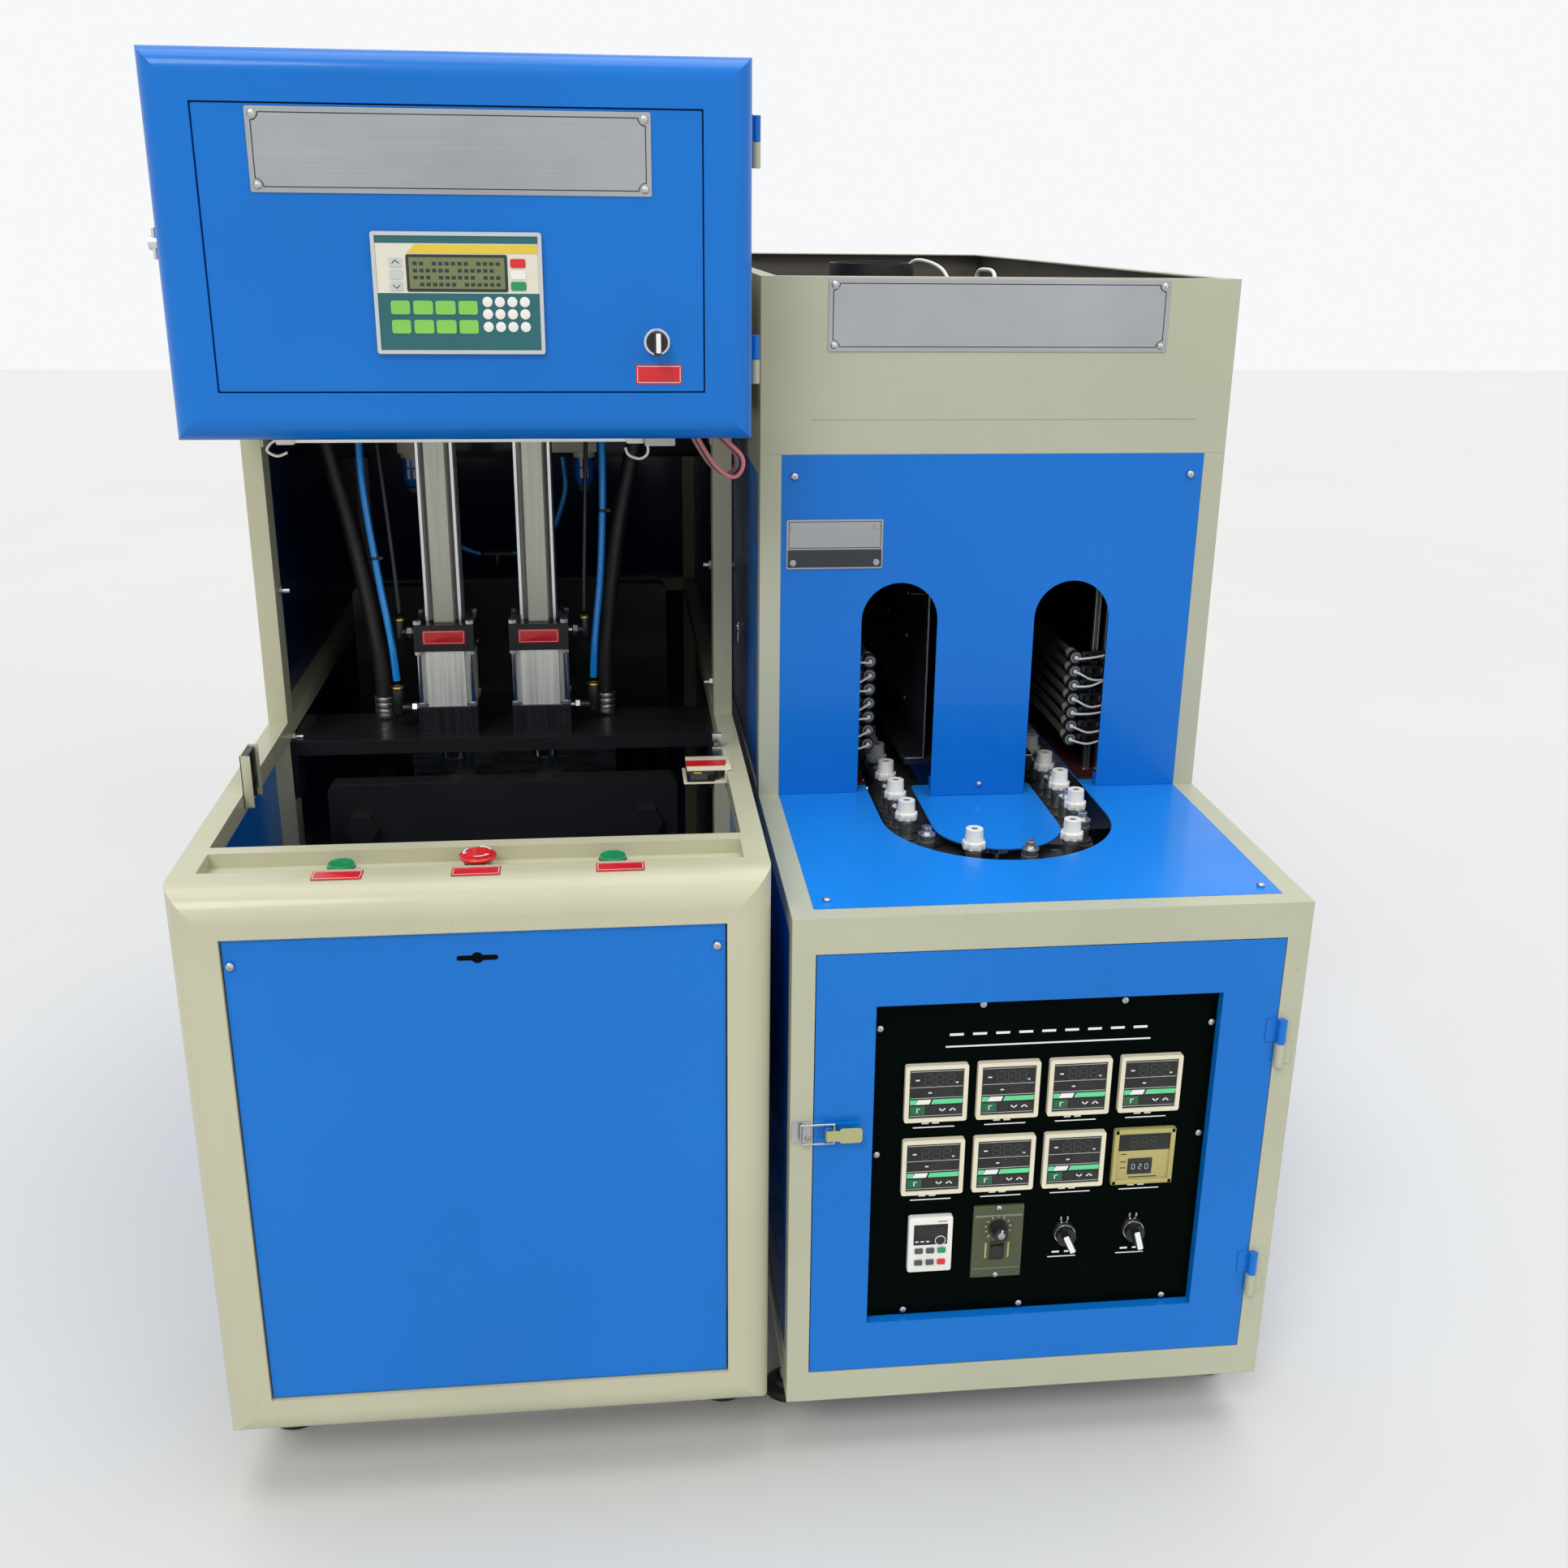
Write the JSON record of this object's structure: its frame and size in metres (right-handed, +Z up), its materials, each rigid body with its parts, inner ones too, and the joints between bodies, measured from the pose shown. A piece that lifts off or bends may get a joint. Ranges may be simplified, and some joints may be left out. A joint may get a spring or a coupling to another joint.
{
  "type": "blow moulding machine",
  "caption": "Semi-automatic stretch-blowing unit with its infrared preform heater: clamp, moulds, stretch cylinders, chain oven, doors and controls.",
  "frame": {"origin": "on the floor, in the middle of the footprint of the pair of cabinets", "axes": "+X to the right as the operator sees it, +Y to the back, +Z up"},
  "size_m": [1.248, 1.826, 1.573],
  "materials": {
    "beige_paint": "powder coat, semi-gloss",
    "grey_green_paint": "powder coat, semi-gloss",
    "blue_paint": "powder coat, semi-gloss",
    "dark_blue_paint": "powder coat, semi-gloss",
    "black_paint": "satin",
    "machined_steel": "machined",
    "bright_chrome": "polished",
    "anodised_aluminium": "anodised, matt",
    "black_plastic": "matt",
    "white_plastic": "satin",
    "cream_plastic": "satin",
    "grey_plastic": "matt",
    "green_plastic": "gloss",
    "red_plastic": "gloss",
    "olive_plastic": "matt",
    "blue_hose": "gloss",
    "black_rubber": "matt",
    "pink_wire": "satin",
    "quartz_lamp": "clear tube with ceramic ends"
  },
  "bodies": {
    "root": {"blower_frame": "beige_paint", "blower_panels": "dark_blue_paint", "front_panel": "blue_paint", "levelling_feet": "black_rubber", "control_box": "beige_paint", "control_gear": "grey_plastic", "work_light": "white_plastic", "guard_brackets": "grey_plastic", "button_bezels": "bright_chrome", "cylinder_bridge": "black_paint", "stretch_cylinders": "anodised_aluminium", "clamp_frame": "black_paint", "clamp_cylinder": "anodised_aluminium", "front_mould": "machined_steel", "blow_hoses": "black_rubber", "air_hoses": "blue_hose", "air_fittings": "black_plastic", "wiring_loom": "pink_wire", "heater_frame": "grey_green_paint", "heater_panels": "blue_paint", "oven_front": "blue_paint", "deck_plate": "blue_paint", "deck_tongue": "blue_paint", "exhaust_hood": "grey_green_paint", "fan_housing": "black_plastic", "conveyor_chain": "black_paint", "chain_sprockets": "machined_steel", "spindles": "machined_steel", "preform_caps": "white_plastic", "lamp_tubes": "quartz_lamp", "lamp_holders": "black_paint", "reflector_box": "black_paint", "name_plates": "machined_steel", "latch_keeper": "bright_chrome"},
    "control_cover": {"control_cover": "blue_paint", "cover_panel": "blue_paint", "operator_panel": "grey_plastic", "cover_name_plate": "machined_steel", "cover_fittings": "bright_chrome"},
    "light_knob": {"light_knob": "black_plastic"},
    "start_button_left": {"start_button_left": "green_plastic"},
    "start_button_right": {"start_button_right": "green_plastic"},
    "emergency_stop": {"emergency_stop": "red_plastic"},
    "moving_platen": {"moving_platen": "black_paint", "rear_mould": "machined_steel"},
    "nozzle_left": {"nozzle_left": "bright_chrome"},
    "nozzle_right": {"nozzle_right": "bright_chrome"},
    "stretch_rod_left": {"stretch_rod_left": "bright_chrome"},
    "stretch_rod_right": {"stretch_rod_right": "bright_chrome"},
    "fan_rotor": {"fan_rotor": "black_plastic"},
    "heater_door": {"heater_door": "blue_paint", "instrument_panel": "black_paint", "panel_meters": "cream_plastic", "speed_controller": "olive_plastic"},
    "motor_knob": {"motor_knob": "black_plastic"},
    "fan_knob": {"fan_knob": "black_plastic"},
    "speed_knob": {"speed_knob": "black_plastic"},
    "rocker_switch": {"rocker_switch": "black_plastic"},
    "latch_lever": {"latch_lever": "bright_chrome"},
    "latch_bail": {"latch_bail": "bright_chrome"}
  },
  "joints": [
    {"name": "cover_swing", "type": "hinge", "parent": "root", "child": "control_cover", "pos_m": [0.019, -0.59, 1.38], "axis": [0, 0, 1], "range_deg": [0, 110]},
    {"name": "door_swing", "type": "hinge", "parent": "root", "child": "heater_door", "pos_m": [0.592, -0.8956, 0.4], "axis": [0, 0, 1], "range_deg": [0, 110]},
    {"name": "light_switch", "type": "hinge", "parent": "control_cover", "child": "light_knob", "pos_m": [-0.0927, -0.6425, 1.288], "axis": [0, 1, 0], "range_deg": [0, 45]},
    {"name": "start_left_press", "type": "slide", "parent": "root", "child": "start_button_left", "axis": [0, 0, -1], "range_m": [0, 0.003], "stiffness_N_per_m": 400, "springref_m": -0.001},
    {"name": "start_right_press", "type": "slide", "parent": "root", "child": "start_button_right", "axis": [0, 0, -1], "range_m": [0, 0.003], "stiffness_N_per_m": 400, "springref_m": -0.001},
    {"name": "stop_press", "type": "slide", "parent": "root", "child": "emergency_stop", "axis": [0, 0, -1], "range_m": [0, 0.005]},
    {"name": "clamp_slide", "type": "slide", "parent": "root", "child": "moving_platen", "axis": [0, -1, 0], "range_m": [0, 0.14]},
    {"name": "nozzle_left_travel", "type": "slide", "parent": "root", "child": "nozzle_left", "axis": [0, 0, -1], "range_m": [0, 0.03]},
    {"name": "nozzle_right_travel", "type": "slide", "parent": "root", "child": "nozzle_right", "axis": [0, 0, -1], "range_m": [0, 0.03]},
    {"name": "stretch_left", "type": "slide", "parent": "root", "child": "stretch_rod_left", "axis": [0, 0, -1], "range_m": [0, 0.25]},
    {"name": "stretch_right", "type": "slide", "parent": "root", "child": "stretch_rod_right", "axis": [0, 0, -1], "range_m": [0, 0.25]},
    {"name": "fan_spin", "type": "hinge", "parent": "root", "child": "fan_rotor", "pos_m": [0.326, 0.52, 1.31], "axis": [0, 0, 1], "continuous": true},
    {"name": "motor_switch", "type": "hinge", "parent": "heater_door", "child": "motor_knob", "pos_m": [0.362, -0.877, 0.291], "axis": [0, 1, 0], "range_deg": [0, 45]},
    {"name": "fan_switch", "type": "hinge", "parent": "heater_door", "child": "fan_knob", "pos_m": [0.445, -0.877, 0.291], "axis": [0, 1, 0], "range_deg": [0, 45]},
    {"name": "speed_dial", "type": "hinge", "parent": "heater_door", "child": "speed_knob", "pos_m": [0.282, -0.877, 0.303], "axis": [0, 1, 0], "range_deg": [-60, 210]},
    {"name": "rocker_tilt", "type": "hinge", "parent": "heater_door", "child": "rocker_switch", "pos_m": [0.282, -0.8757, 0.272], "axis": [1, 0, 0], "range_deg": [-16, 0]},
    {"name": "latch_throw", "type": "hinge", "parent": "heater_door", "child": "latch_lever", "pos_m": [0.076, -0.899, 0.451], "axis": [0, 0, 1], "range_deg": [-120, 0]},
    {"name": "bail_swing", "type": "hinge", "parent": "latch_lever", "child": "latch_bail", "pos_m": [0.083, -0.8982, 0.451], "axis": [0, 0, 1], "range_deg": [0, 120]}
  ],
  "couplings": [
    {"joint": "bail_swing", "follows": "latch_throw", "ratio": -1}
  ]
}
